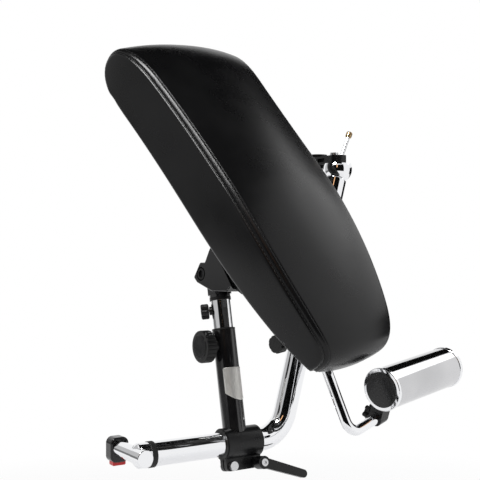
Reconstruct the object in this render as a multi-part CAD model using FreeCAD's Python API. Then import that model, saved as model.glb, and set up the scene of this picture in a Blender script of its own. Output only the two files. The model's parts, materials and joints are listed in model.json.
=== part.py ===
import FreeCAD, Part
import math
import os

# Arm rest on a chair's side rail, in millimetres. X runs back along the rail, Y in
# towards the chair, Z up. Pieces are laid out from where the front pivot pin crosses the
# rail's axis, then moved so that the origin is on the socket's back, on the pin's axis.

# Rail: one bent tube, level at the front and leaning back behind the clamp
rail_d = 35.0
rail_wall = 2.0
rail_front_x = 23.0
rail_corner_x = 240.0
rail_bend_r = 50.0
rail_lean_deg = 15.4
upright_length = 410.0

# Rail front end: seal ring, domed fitting and the pivot pin
seal_ring_length = 8.0
seal_ring_proud = 0.8
plug_depth = 25.0
plug_gap = 0.05
front_dome_length = 7.0
front_body_length = 15.0
pin_d = 23.0
pin_head_d = 24.5
pin_head_length = 5.0
pin_boss_d = 24.5
pin_boss_proud = 1.5
pin_spigot_d = 14.0
pin_gap = 0.05
pin_edge = 1.0

# Chair socket: the moulded block that takes the pin, with its release button
socket_gap_from_rail = 38.0
socket_width = 28.0
socket_depth = 18.0
socket_above_pin = 16.0
socket_below_pin = 20.0
socket_corner = 9.0
socket_front_edge = 3.0
socket_pin_depth = 14.0
socket_bolt_d = 4.5
socket_bolt_spacing = 15.0
socket_bolt_above_pin = 10.0
button_width = 20.0
button_depth = 12.0
button_height = 10.0
button_proud = 5.0
button_gap = 0.4
button_corner = 2.5
button_travel_room = 4.0

# Top of the upright: rounded end, bracket to the chair back, bolt and pull rod
bulb_d = 46.0
bulb_above_tube = 18.0
bulb_flat_above_centre = 9.0
bracket_width = 27.0
bracket_height = 13.0
bracket_reach = 52.0
bracket_bore_d = 10.0
bracket_boss_d = 31.0
bracket_boss_extra = 5.0
bracket_bar = 3.5
bracket_slot_inset = 1.5
bracket_bolt_d = 8.0
bracket_bolt_y = 9.0
bracket_bolt_head_d = 13.0
bracket_bolt_head_height = 5.0
bracket_bolt_depth = 14.0
pull_rod_d = 6.0
pull_rod_lean_deg = 23.5
pull_rod_x = 3.0
pull_rod_y = -7.0
pull_rod_above = 31.0
pull_rod_depth = 10.0
pull_rod_gap = 0.06
pull_knob_d = 10.0
pull_knob_length = 10.0

# Clamp that slides along the rail and tilts on its liner
clamp_from_bend = 4.71
clamp_length = 60.0
liner_wall = 1.5
liner_flange = 1.2
running_gap = 0.06
collar_wall = 4.0
lug_thickness = 7.0
lug_slit = 3.0
lug_depth = 16.0
lug_rounding = 6.0
lug_bolt_spacing = 40.0
lug_bolt_d = 8.0
lug_bolt_below_collar = 9.0
bolt_head_d = 13.0
bolt_head_height = 6.0
nut_height = 6.5
bolt_gap = 0.06

# Clamp lever
lever_hub_d = 19.0
lever_hub_length = 24.0
lever_hub_foot_share = 0.8
lever_length = 72.0
lever_root_width = 15.0
lever_tip_width = 12.0
lever_thickness = 8.0
lever_drop_deg = 20.0
lever_screw_d = 11.0
lever_screw_proud = 1.6
lever_stud_gap = 0.3

# Post: outer tube, bush and inner tube
post_before_clamp_middle = 5.0
post_lean_deg = 11.8
outer_tube_d = 35.0
outer_tube_wall = 1.5
outer_tube_top = 167.0
bush_length = 42.0
bush_flange_height = 2.5
inner_tube_d = 30.4
inner_tube_wall = 1.8
inner_tube_bottom = 42.0
inner_tube_shown = 42.5
glide_flange_height = 8.0
glide_depth = 14.0

# Height knob
height_knob_below_top = 23.0
height_knob_d = 48.0
height_knob_thickness = 16.0
height_knob_face_from_axis = 44.0
height_knob_scallop_d = 4.5
height_knob_scallop_count = 24
height_cap_d = 35.0
height_cap_thickness = 2.5
height_cap_proud = 0.6
knob_boss_d = 17.0
knob_boss_gap = 0.6
height_stud_d = 8.0
stud_tip_gap = 0.35
knob_edge = 1.5
knob_hub_length = 5.0
knob_hub_d = 22.0
scallop_reach_share = 0.55

# Small lobed knob that locks the head's swivel
lock_knob_below_top = 14.0
lock_knob_turn_deg = 147.0
lock_knob_d = 24.0
lock_knob_thickness = 12.0
lock_knob_from_axis = 19.0
lock_lobe_count = 5
lock_lobe_d = 9.5
lock_core_d = 15.0
lock_boss_d = 13.0
lock_boss_length = 3.0
lock_screw_d = 6.0

# Head stem: spigot in the tube, neck and the eye that tilts
top_bush_flange_d = 32.4
top_bush_flange_height = 5.0
top_bush_depth = 42.0
spigot_d = 22.0
spigot_depth = 44.0
groove_depth = 2.0
groove_height = 9.0
neck_d = 30.0
neck_flange_d = 32.0
neck_flange_height = 4.0
tilt_above_tube = 41.0
eye_r = 14.0
eye_thickness = 31.0
stem_cheek_r = 18.0
head_swivel_deg = 6.5

# Tilt housing: moulded fork round the eye, flaring up to the pad
pad_tilt_deg = 63.6
housing_width = 64.0
housing_top_width = 54.0
housing_cheek = 14.6
housing_height = 96.0
housing_top_wall = 11.0
housing_wall = 8.0
housing_rounding = 3.5
housing_rim = 2.2
housing_shoulder_up = 48.0
mouth_back_up = 30.0
mouth_front_up = 30.0
# the fork's side view from the pin, (forward, up) as shares of the eye's radius
housing_low_shares = [(-0.5, -1.3), (0.3, -1.15), (2.6, 0.4), (4.1, 2.4), (4.1, 3.2), (5.65, 4.0),
                      (5.65, 4.45)]
housing_front_share = 4.6
housing_back_share = 2.0
housing_back_wall_share = 1.45
housing_back_shares = [(-1.24, 2.68), (-0.61, 1.23), (-1.12, 0.54)]
tilt_pin_d = 12.0
tilt_pin_head_d = 17.0
tilt_pin_head_height = 6.0
tilt_recess_d = 21.0
tilt_washer_d = 27.0
tilt_washer_gap = 0.1
turn_bolt_d = 12.0
turn_washer_d = 52.0
turn_washer_height = 1.5
turn_washer_gap = 0.1
turn_nut_height = 7.0
turn_nut_gap = 0.1
turn_nut_d = 21.0

# Pad: steel plate, board and cushion. L runs to the pad's lower end, W across it
pad_turn_deg = 9.35
pad_mount_l = 34.0
plate_length = 150.0
plate_width = 90.0
plate_height = 4.0
plate_corner = 12.0
plate_screw_d = 9.0
plate_screw_height = 1.3
plate_screw_inset = 12.0
board_height = 10.0
board_inset = 20.0
board_corner = 30.0
pad_length = 550.0
pad_side_height = 83.0
pad_mid_width = 212.0
pad_upper_flare = 15.0
pad_lower_taper = 35.0
pad_crown = 19.0
pad_sag = 5.0
pad_upper_round = 95.0
pad_lower_round = 260.0
pad_upper_power = 2.4
pad_lower_power = 1.5
pad_upper_end_height = 42.0
pad_lower_end_height = 40.0
pad_corner_in = 3.0
pad_corner_reach = 48.0
pad_corner_power = 2.2
pad_side_swell = 3.0
pad_taper_power = 2.5
# stations along the cushion, as shares of the rounded end that each one lies in
pad_round_shares = [0.0, 0.06, 0.2, 0.45, 0.75]
pad_middle_shares = [0.0, 0.5, 1.0]

# Grip bracket under the board's lower end
grip_pivot_from_end = 67.0
grip_pivot_below = 26.5
bracket_ear = 5.0
bracket_base_height = 4.0
bracket_base_length = 60.0
bracket_base_width = 92.0
ear_r = 13.0
bracket_screw_inset = 9.0
block_half_width = 24.0
block_r = 12.0
block_side_gap = 0.25
shaft_d = 10.0
shaft_gap = 0.06
shaft_nut_d = 17.0
shaft_nut_height = 8.0
arm_knob_d = 25.0
arm_knob_thickness = 15.0
arm_knob_beyond_base = 8.0
arm_knob_flute_count = 8
arm_knob_flute_d = 6.0
arm_sleeve_d = 14.0

# Grip arm: bent rod, clamp block and the round hand grip
rod_d = 15.0
rod_across = 11.5
rod_drop_deg = 16.7
rod_reach = 145.5
rod_bend_r = 17.0
rod_bend_deg = 96.4
rod_side_reach = 80.0
rod_root_wall = 2.4
rod_gap = 0.06
clamp_block_from_bend = 60.5
clamp_block_width = 18.0
clamp_block_wall = 3.0
clamp_screw_d = 5.0
clamp_screw_gap = 0.3
clamp_knob_gap = 1.5
clamp_knob_d = 24.0
clamp_knob_core_d = 14.0
clamp_knob_lobe_d = 7.0
clamp_knob_lobe_count = 5
clamp_knob_thickness = 9.0
grip_d = 60.0
grip_wall = 2.5
grip_length = 164.0
grip_start_w = 70.0
grip_beyond_pad = 41.0
grip_below = 26.0
grip_ring_length = 6.0
grip_ring_proud = 1.0
grip_cap_d = 51.0
grip_cap_thickness = 5.0
grip_cap_proud = 1.2

# Shared by all pieces: a hexagon's corners, how far cuts run past a face, and how
# closely a round or straight edge has to match when it is picked by size or direction
hex_share = 2.0 / math.sqrt(3.0)
overrun = 2.0
match_share = 1e-4

V = FreeCAD.Vector
X_AXIS = V(1, 0, 0)
Y_AXIS = V(0, 1, 0)
Z_AXIS = V(0, 0, 1)


# Placing and small shape helpers
def place(origin, axis=Z_AXIS, degrees=0.0):
    return FreeCAD.Placement(origin, FreeCAD.Rotation(axis, degrees))


def put(shape, where):
    moved = shape.copy()
    moved.Placement = where.multiply(moved.Placement)
    return moved


def rod(radius, start, end):
    return Part.makeCylinder(radius, end - start, V(0, 0, start), Z_AXIS)


def sleeve(outer_r, inner_r, start, end):
    return rod(outer_r, start, end).cut(rod(inner_r, start - overrun, end + overrun))


def block(x0, x1, y0, y1, z0, z1):
    return Part.makeBox(x1 - x0, y1 - y0, z1 - z0, V(x0, y0, z0))


def hexagon(across_corners_r, start, end):
    corners = [V(across_corners_r * math.cos(math.radians(60 * k)),
                 across_corners_r * math.sin(math.radians(60 * k)), start) for k in range(7)]
    return Part.Face(Part.makePolygon(corners)).extrude(V(0, 0, end - start))


def turned(points):
    # a solid of revolution about Z, from (radius, height) points
    wire = Part.makePolygon([V(r, 0, z) for r, z in points] + [V(points[0][0], 0, points[0][1])])
    return Part.Face(wire).revolve(V(0, 0, 0), Z_AXIS, 360)


def along(direction):
    # placement that turns local Z into the given direction
    return FreeCAD.Placement(V(0, 0, 0), FreeCAD.Rotation(Z_AXIS, direction))


def edges_parallel(shape, direction):
    found = []
    for edge in shape.Edges:
        if edge.Curve.TypeId == "Part::GeomLine":
            if abs(edge.tangentAt(edge.FirstParameter).dot(direction)) > 1 - match_share:
                found.append(edge)
    return found


def circles(shape, radius):
    found = []
    for edge in shape.Edges:
        if edge.Curve.TypeId == "Part::GeomCircle":
            if abs(edge.Curve.Radius - radius) < radius * match_share:
                found.append(edge)
    return found


def rounded_block(x0, x1, y0, y1, z0, z1, radius, direction=Z_AXIS):
    body = block(x0, x1, y0, y1, z0, z1)
    return body.makeFillet(radius, edges_parallel(body, direction))


# Places that follow from the sizes: the clamp stops short of the rail's bend, and the
# post's pieces are set from the tops of its tubes
rail_turn_deg = 90 - rail_lean_deg
rail_tangent = rail_bend_r * math.tan(math.radians(rail_turn_deg / 2))
rail_bend_x = rail_corner_x - rail_tangent
clamp_end = rail_bend_x - clamp_from_bend - liner_flange
clamp_start = clamp_end - clamp_length
clamp_x = (clamp_start + clamp_end) / 2
post_x = clamp_x - post_before_clamp_middle
inner_tube_top = outer_tube_top + bush_flange_height + inner_tube_shown
height_knob_up = outer_tube_top - height_knob_below_top
lock_knob_up = inner_tube_top - lock_knob_below_top
tilt_up = inner_tube_top + tilt_above_tube
grip_l = pad_length / 2 + grip_beyond_pad
grip_pivot_l = pad_length / 2 - grip_pivot_from_end
arm_knob_from_centre = bracket_base_width / 2 + arm_knob_beyond_base

# Frames: the leaning upright, the post, the head and the pad
UPRIGHT = place(V(rail_corner_x, 0, 0), Y_AXIS, rail_lean_deg)
POST = place(V(post_x, 0, 0), X_AXIS, -post_lean_deg)
STEM = POST.multiply(place(V(0, 0, tilt_up), Z_AXIS, head_swivel_deg))
HEAD = STEM.multiply(place(V(0, 0, 0), X_AXIS, pad_tilt_deg))
pad_up = housing_height + turn_washer_height + turn_washer_gap + plate_height + board_height
PAD = HEAD.multiply(place(V(0, 0, pad_up), Z_AXIS, pad_turn_deg - 90))
PAD = PAD.multiply(place(V(-pad_mount_l, 0, 0)))

rail_r = rail_d / 2
rail_bore_r = rail_r - rail_wall
collar_bore_r = rail_r + running_gap + liner_wall + running_gap
collar_r = collar_bore_r + collar_wall
outer_r = outer_tube_d / 2
outer_bore_r = outer_r - outer_tube_wall
inner_r = inner_tube_d / 2
inner_bore_r = inner_r - inner_tube_wall


# Rail and its ends
def make_rail_tube():
    level = put(sleeve(rail_r, rail_bore_r, rail_front_x, rail_bend_x), along(X_AXIS))
    bend_foot = V(rail_bend_x, 0, 0)
    rims = [Part.Wire(Part.makeCircle(r, bend_foot, X_AXIS)) for r in (rail_r, rail_bore_r)]
    bend = Part.Face(rims).revolve(V(rail_bend_x, 0, rail_bend_r), V(0, -1, 0), rail_turn_deg)
    upright = put(sleeve(rail_r, rail_bore_r, rail_tangent, upright_length), UPRIGHT)
    return level.fuse([bend, upright]).removeSplitter()


def make_seal_ring():
    outer = rail_r + seal_ring_proud
    ring = sleeve(outer, rail_bore_r - plug_gap, rail_front_x - seal_ring_length, rail_front_x)
    ring = ring.makeFillet(seal_ring_proud / 2, circles(ring, outer))
    return put(ring, along(X_AXIS))


def make_front_cap():
    body_end = rail_front_x - seal_ring_length
    body_start = body_end - front_body_length
    spigot_r = rail_bore_r - plug_gap
    spigot_end = rail_front_x + plug_depth
    outline = [V(0, 0, body_start - front_dome_length), V(rail_r, 0, body_start), V(rail_r, 0, body_end),
               V(spigot_r, 0, body_end), V(spigot_r, 0, spigot_end), V(0, 0, spigot_end)]
    dome_mid = V(rail_r * math.sin(math.radians(45)), 0,
                 body_start - front_dome_length * math.sin(math.radians(45)))
    dome = Part.Arc(outline[0], dome_mid, outline[1]).toShape()
    sides = [Part.makeLine(a, b) for a, b in zip(outline[1:], outline[2:] + outline[:1])]
    body = Part.Face(Part.Wire([dome] + sides)).revolve(V(0, 0, 0), Z_AXIS, 360)
    body = put(body, along(X_AXIS))
    boss = put(rod(pin_boss_d / 2, -rail_r - pin_boss_proud, 0), along(Y_AXIS))
    hole = put(rod(pin_d / 2 + pin_gap, -rail_d, rail_d), along(Y_AXIS))
    return body.fuse(boss).cut(hole)


def make_pivot_pin():
    face = rail_r + pin_boss_proud
    end = rail_r + socket_gap_from_rail + socket_pin_depth
    shank = rod(pin_d / 2, -face, end - socket_pin_depth)
    spigot = rod(pin_spigot_d / 2, end - socket_pin_depth, end)
    head = rod(pin_head_d / 2, -face - pin_head_length, -face)
    outer = [e for e in circles(head, pin_head_d / 2) if e.CenterOfMass.z < -face - pin_head_length / 2]
    head = head.makeFillet(pin_edge, outer)
    return put(shank.fuse([spigot, head]), along(Y_AXIS))


def socket_y():
    start = rail_r + socket_gap_from_rail
    return start, start + socket_depth


def make_chair_socket():
    y0, y1 = socket_y()
    half = socket_width / 2
    body = rounded_block(-half, half, y0, y1, -socket_below_pin, socket_above_pin,
                         socket_corner, Y_AXIS)
    front = [e for e in body.Edges if abs(e.CenterOfMass.y - y0) < y0 * match_share]
    body = body.makeFillet(socket_front_edge, front)
    bore = put(rod(pin_spigot_d / 2 + pin_gap, y0 - overrun, y0 + socket_pin_depth + pin_gap), along(Y_AXIS))
    body = body.cut(bore)
    for side in (-1, 1):
        centre = place(V(side * socket_bolt_spacing / 2, 0, socket_bolt_above_pin))
        screw = rod(socket_bolt_d / 2, y0 - overrun, y1 + overrun)
        body = body.cut(put(screw, centre.multiply(along(Y_AXIS))))
    half_button = button_width / 2 + button_gap
    y_mid = (y0 + y1) / 2
    depth_half = button_depth / 2 + button_gap
    well_top = -socket_below_pin - button_proud + button_height + button_travel_room
    well = block(-half_button, half_button, y_mid - depth_half, y_mid + depth_half,
                 -socket_below_pin - overrun, well_top)
    return body.cut(well)


def make_release_button():
    y0, y1 = socket_y()
    y_mid = (y0 + y1) / 2
    low = -socket_below_pin - button_proud
    body = block(-button_width / 2, button_width / 2, y_mid - button_depth / 2, y_mid + button_depth / 2,
                 low, low + button_height)
    bottom = [e for e in body.Edges if abs(e.CenterOfMass.z - low) < button_gap]
    return body.makeFillet(button_corner, bottom)


BULB_CENTRE = UPRIGHT.multVec(V(0, 0, upright_length + bulb_above_tube))
BULB = place(BULB_CENTRE)
bracket_pitch = bulb_flat_above_centre + bracket_height


def make_top_cap():
    ball = Part.makeSphere(bulb_d / 2, BULB_CENTRE)
    below = rod(bulb_d / 2 + overrun, upright_length - bulb_d, upright_length)
    ball = ball.cut(put(below, UPRIGHT))
    spigot = rod(rail_bore_r - plug_gap, upright_length - plug_depth, upright_length + overrun)
    flat = bulb_flat_above_centre
    top = block(-bulb_d, bulb_d, -bulb_d, bulb_d, flat, bulb_d)
    body = ball.fuse(put(spigot, UPRIGHT)).cut(put(top, BULB))
    hole = rod(bracket_bolt_d / 2, flat - bracket_bolt_depth, flat + overrun)
    return body.cut(put(hole, BULB.multiply(place(V(0, bracket_bolt_y, 0)))))


def pull_rod_frame():
    foot = V(pull_rod_x, pull_rod_y, bracket_pitch)
    return BULB.multiply(place(foot, Y_AXIS, pull_rod_lean_deg))


def make_upper_bracket():
    low = bulb_flat_above_centre
    half = bracket_width / 2
    arm = block(-half, half, 0, bracket_reach, low, bracket_pitch)
    arm = arm.fuse(rod(half, low, bracket_pitch))
    boss_r = bracket_boss_d / 2
    boss = rod(boss_r, low - bracket_boss_extra, bracket_pitch + bracket_boss_extra)
    arm = arm.fuse(put(boss, place(V(0, bracket_reach, 0)))).removeSplitter()
    bore = rod(bracket_bore_d / 2, low - bracket_boss_extra - overrun,
               bracket_pitch + bracket_boss_extra + overrun)
    arm = arm.cut(put(bore, place(V(0, bracket_reach, 0))))
    bolt_hole = rod(bracket_bolt_d / 2, low - overrun, bracket_pitch + overrun)
    arm = arm.cut(put(bolt_hole, place(V(0, bracket_bolt_y, 0))))
    slot_start = bracket_bolt_y + bracket_bolt_head_d / 2 + bracket_slot_inset
    slot_end = bracket_reach - boss_r - bracket_slot_inset
    slot = block(-half - overrun, half + overrun, slot_start, slot_end,
                 low + bracket_bar, bracket_pitch - bracket_bar)
    arm = arm.cut(slot)
    arm = put(arm, BULB)
    rod_hole = rod(pull_rod_d / 2 + pull_rod_gap, -pull_rod_depth, pull_rod_depth)
    return arm.cut(put(rod_hole, pull_rod_frame()))


def make_upper_bracket_bolt():
    low = bulb_flat_above_centre - bracket_bolt_depth
    bolt = rod(bracket_bolt_d / 2, low, bracket_pitch)
    bolt = bolt.fuse(rod(bracket_bolt_head_d / 2, bracket_pitch, bracket_pitch + bracket_bolt_head_height))
    return put(bolt, BULB.multiply(place(V(0, bracket_bolt_y, 0))))


def make_pull_rod():
    shaft = rod(pull_rod_d / 2, -pull_rod_depth + pull_rod_gap, pull_rod_above)
    return put(shaft, pull_rod_frame())


def make_pull_knob():
    r = pull_knob_d / 2
    end = pull_rod_above + pull_knob_length
    knob = rod(r, pull_rod_above, end)
    knob = knob.makeFillet(r / 2, circles(knob, r))
    return put(knob, pull_rod_frame())


# Clamp on the rail
def make_clamp_liner():
    bore = rail_r + running_gap
    body = sleeve(bore + liner_wall, bore, clamp_start - liner_flange, clamp_end + liner_flange)
    for start in (clamp_start - liner_flange, clamp_end):
        body = body.fuse(sleeve(collar_r - liner_wall, bore, start, start + liner_flange))
    return put(body.removeSplitter(), along(X_AXIS))


LUGS = place(V(clamp_x, 0, 0), X_AXIS, -post_lean_deg)
lug_side = lug_slit / 2 + lug_thickness
bolt_down = collar_r + lug_bolt_below_collar


def lug_bolt_frame(side):
    # local Z runs along the bolt, across the lugs
    return LUGS.multiply(place(V(side * lug_bolt_spacing / 2, 0, -bolt_down))).multiply(along(Y_AXIS))


def make_clamp_collar():
    body = put(sleeve(collar_r, collar_bore_r, clamp_start, clamp_end), along(X_AXIS))
    half = clamp_length / 2
    low = -collar_r - lug_depth
    lugs = rounded_block(-half, half, -lug_side, lug_side, low, -collar_bore_r, lug_rounding, Y_AXIS)
    upper = block(-half, half, -lug_side, lug_side, -collar_bore_r - collar_wall, -collar_bore_r)
    lugs = put(lugs.fuse(upper), LUGS)
    body = body.fuse(lugs)
    slit = block(-half - overrun, half + overrun, -lug_slit / 2, lug_slit / 2, low - overrun, 0)
    body = body.cut(put(slit, LUGS))
    bore = put(rod(collar_bore_r, clamp_start - overrun, clamp_end + overrun), along(X_AXIS))
    body = body.cut(bore)
    for side in (-1, 1):
        hole = rod(lug_bolt_d / 2 + bolt_gap, -lug_side - overrun, lug_side + overrun)
        body = body.cut(put(hole, lug_bolt_frame(side)))
    seat = rod(outer_r, 0, collar_r + collar_wall)
    foot = put(seat, POST).cut(put(rod(collar_r - collar_wall / 2, clamp_start, clamp_end), along(X_AXIS)))
    return body.cut(foot)


def make_clamp_bolt(side, head_depth):
    shank = rod(lug_bolt_d / 2, -lug_side - head_depth, lug_side + nut_height)
    if side < 0:
        shank = shank.fuse(rod(bolt_head_d / 2, -lug_side - bolt_head_height, -lug_side))
    return put(shank, lug_bolt_frame(side))


def make_clamp_nuts():
    across = bolt_head_d / 2 * hex_share
    nuts = []
    for side in (-1, 1):
        nut = hexagon(across, lug_side, lug_side + nut_height)
        nut = nut.cut(rod(lug_bolt_d / 2 + bolt_gap, lug_side - overrun, lug_side + nut_height + overrun))
        nuts.append(put(nut, lug_bolt_frame(side)))
    return Part.makeCompound(nuts)


def lever_frame():
    # local Z points out along the bolt, local X towards the handle
    base = lug_bolt_frame(1).multiply(place(V(0, 0, -lug_side), X_AXIS, 180))
    return base.multiply(place(V(0, 0, 0), Z_AXIS, -lever_drop_deg))


def make_clamp_lever():
    hub_r = lever_hub_d / 2
    start = lever_stud_gap
    end = start + lever_hub_length
    foot_r = hub_r * lever_hub_foot_share
    hub = turned([(0, start), (foot_r, start), (hub_r, start + lever_thickness), (hub_r, end), (0, end)])
    z0 = end - lever_thickness
    outline = [V(0, -lever_root_width / 2, z0), V(lever_length, -lever_tip_width / 2, z0),
               V(lever_length, lever_tip_width / 2, z0), V(0, lever_root_width / 2, z0)]
    handle = Part.Face(Part.makePolygon(outline + outline[:1])).extrude(V(0, 0, lever_thickness))
    tip = rod(lever_tip_width / 2, z0, end)
    handle = handle.fuse(put(tip, place(V(lever_length, 0, 0)))).removeSplitter()
    body = hub.fuse(handle).removeSplitter()
    bore = rod(lug_bolt_d / 2 + bolt_gap, start - overrun, start + lever_hub_length / 2)
    well = rod(lever_screw_d / 2, end - lever_screw_proud, end + overrun)
    return put(body.cut(bore).cut(well), lever_frame())


def make_lever_screw():
    end = lever_stud_gap + lever_hub_length
    screw = rod(lever_screw_d / 2, end - lever_screw_proud, end + lever_screw_proud)
    socket = hexagon(lever_screw_d / 4, end, end + overrun)
    return put(screw.cut(socket), lever_frame())


# Post tubes
def side_frame(up, degrees):
    # local Z points out from the post's axis at the given height
    turn = POST.multiply(place(V(0, 0, up), Z_AXIS, degrees))
    return turn.multiply(along(X_AXIS))


HEIGHT_KNOB = side_frame(height_knob_up, 180)
LOCK_KNOB = side_frame(lock_knob_up, lock_knob_turn_deg)


def make_outer_tube():
    tube = put(sleeve(outer_r, outer_bore_r, 0, outer_tube_top), POST)
    tube = tube.cut(put(rod(collar_r - collar_wall / 2, 0, rail_corner_x), along(X_AXIS)))
    hole = rod(height_stud_d / 2 + bolt_gap, inner_r, outer_tube_d)
    return tube.cut(put(hole, HEIGHT_KNOB))


def make_outer_bush():
    bore = inner_r + running_gap
    body = sleeve(outer_bore_r, bore, outer_tube_top - bush_length, outer_tube_top)
    rim = sleeve(outer_r, bore, outer_tube_top, outer_tube_top + bush_flange_height)
    body = put(body.fuse(rim).removeSplitter(), POST)
    hole = rod(height_stud_d / 2 + bolt_gap, 0, outer_tube_d)
    return body.cut(put(hole, HEIGHT_KNOB))


def make_knob_boss():
    end = height_knob_face_from_axis - height_knob_thickness - knob_hub_length - knob_boss_gap
    boss = rod(knob_boss_d / 2, outer_r - outer_tube_wall, end)
    boss = boss.cut(rod(height_stud_d / 2 + bolt_gap, 0, outer_tube_d))
    boss = put(boss, HEIGHT_KNOB)
    return boss.cut(put(rod(outer_r, 0, outer_tube_top), POST))


def scalloped(radius, start, end, count, cut_r, edge):
    body = rod(radius, start, end)
    body = body.makeFillet(edge, circles(body, radius))
    reach = radius + cut_r * scallop_reach_share
    for k in range(count):
        angle = math.radians(360.0 * k / count)
        groove = rod(cut_r, start - overrun, end + overrun)
        body = body.cut(put(groove, place(V(reach * math.cos(angle), reach * math.sin(angle), 0))))
    return body


def make_height_knob():
    face = height_knob_face_from_axis
    back = face - height_knob_thickness
    body = scalloped(height_knob_d / 2, back, face, height_knob_scallop_count,
                     height_knob_scallop_d / 2, knob_edge)
    body = body.fuse(rod(knob_hub_d / 2, back - knob_hub_length, back))
    body = body.cut(rod(height_cap_d / 2, face - height_cap_thickness, face + overrun))
    bore = rod(height_stud_d / 2, 0, back + height_knob_thickness / 2)
    return put(body.cut(bore), HEIGHT_KNOB)


def make_height_knob_cap():
    face = height_knob_face_from_axis
    cap = rod(height_cap_d / 2, face - height_cap_thickness, face + height_cap_proud)
    rim = [e for e in circles(cap, height_cap_d / 2) if e.CenterOfMass.z > face]
    cap = cap.makeFillet(height_cap_proud / 2, rim)
    return put(cap, HEIGHT_KNOB)


def make_height_stud():
    end = height_knob_face_from_axis - height_knob_thickness / 2
    return put(rod(height_stud_d / 2, inner_r + stud_tip_gap, end), HEIGHT_KNOB)


def make_inner_tube():
    tube = put(sleeve(inner_r, inner_bore_r, inner_tube_bottom, inner_tube_top), POST)
    hole = rod(lock_screw_d / 2 + bolt_gap, 0, outer_tube_d)
    return tube.cut(put(hole, LOCK_KNOB))


def make_inner_glide():
    start = inner_tube_bottom - glide_flange_height
    plug = rod(inner_bore_r - plug_gap, start, inner_tube_bottom + glide_depth)
    foot = rod(outer_bore_r - running_gap, start, inner_tube_bottom)
    body = plug.fuse(foot).removeSplitter()
    body = body.cut(rod(inner_bore_r / 2, start - overrun, inner_tube_bottom + glide_depth + overrun))
    return put(body, POST)


def make_top_bush():
    bore = spigot_d / 2 + running_gap
    body = sleeve(inner_bore_r - plug_gap, bore, inner_tube_top - top_bush_depth, inner_tube_top)
    rim = sleeve(top_bush_flange_d / 2, bore, inner_tube_top, inner_tube_top + top_bush_flange_height)
    body = put(body.fuse(rim).removeSplitter(), POST)
    hole = rod(lock_screw_d / 2 + bolt_gap, 0, outer_tube_d)
    return body.cut(put(hole, LOCK_KNOB))


def make_lock_boss():
    boss = rod(lock_boss_d / 2, inner_bore_r, inner_r + lock_boss_length)
    boss = put(boss.cut(rod(lock_screw_d / 2 + bolt_gap, 0, outer_tube_d)), LOCK_KNOB)
    return boss.cut(put(rod(inner_r, 0, inner_tube_top), POST))


def lobed(width, core_width, lobe_width, count, start, end):
    # a star knob: rounded lobes set round a plain core
    body = rod(core_width / 2, start, end)
    centre_r = width / 2 - lobe_width / 2
    lobe = rod(lobe_width / 2, start, end)
    lobe = lobe.makeFillet(lobe_width / 4, circles(lobe, lobe_width / 2))
    for k in range(count):
        angle = math.radians(360.0 * k / count)
        body = body.fuse(put(lobe, place(V(centre_r * math.cos(angle), centre_r * math.sin(angle), 0))))
    return body


def make_lock_knob():
    start = lock_knob_from_axis
    body = lobed(lock_knob_d, lock_core_d, lock_lobe_d, lock_lobe_count, start, start + lock_knob_thickness)
    body = body.cut(rod(lock_screw_d / 2, start - overrun, start + lock_knob_thickness / 2))
    return put(body, LOCK_KNOB)


def make_lock_screw():
    tip = spigot_d / 2 - groove_depth + stud_tip_gap
    return put(rod(lock_screw_d / 2, tip, lock_knob_from_axis + lock_knob_thickness / 2), LOCK_KNOB)


# Head
def make_head_stem():
    base = inner_tube_top + top_bush_flange_height
    spigot = rod(spigot_d / 2, base - spigot_depth, base)
    groove = sleeve(spigot_d, spigot_d / 2 - groove_depth, lock_knob_up - groove_height / 2,
                    lock_knob_up + groove_height / 2)
    spigot = spigot.cut(groove)
    flange = rod(neck_flange_d / 2, base, base + neck_flange_height)
    neck = rod(neck_d / 2, base, tilt_up - eye_r / 2)
    stem = put(spigot.fuse([flange, neck]), POST)
    half = eye_thickness / 2
    eye = put(rod(eye_r, -half, half), STEM.multiply(along(X_AXIS)))
    cheek = block(-half, half, -eye_r, eye_r, base + neck_flange_height - tilt_up, 0)
    cheek = put(cheek, STEM).common(put(rod(stem_cheek_r, 0, tilt_up), POST))
    stem = stem.fuse([eye, cheek])
    bore = put(rod(tilt_pin_d / 2 + running_gap, -eye_thickness, eye_thickness), STEM.multiply(along(X_AXIS)))
    return stem.cut(bore).removeSplitter()


def housing_outline():
    # side view of the fork, (back to front, up) from the tilt pin
    low = [(front * eye_r, up * eye_r) for front, up in housing_low_shares]
    top = [(housing_front_share * eye_r, housing_height), (-housing_back_share * eye_r, housing_height)]
    back = [(front * eye_r, up * eye_r) for front, up in housing_back_shares]
    return low + top + back


def side_profile(points, half_width):
    # extrude a (front, up) outline across the hinge axis, both ways from the middle
    corners = [V(-half_width, -front, up) for front, up in points]
    return Part.Face(Part.makePolygon(corners + corners[:1])).extrude(V(2 * half_width, 0, 0))


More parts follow.
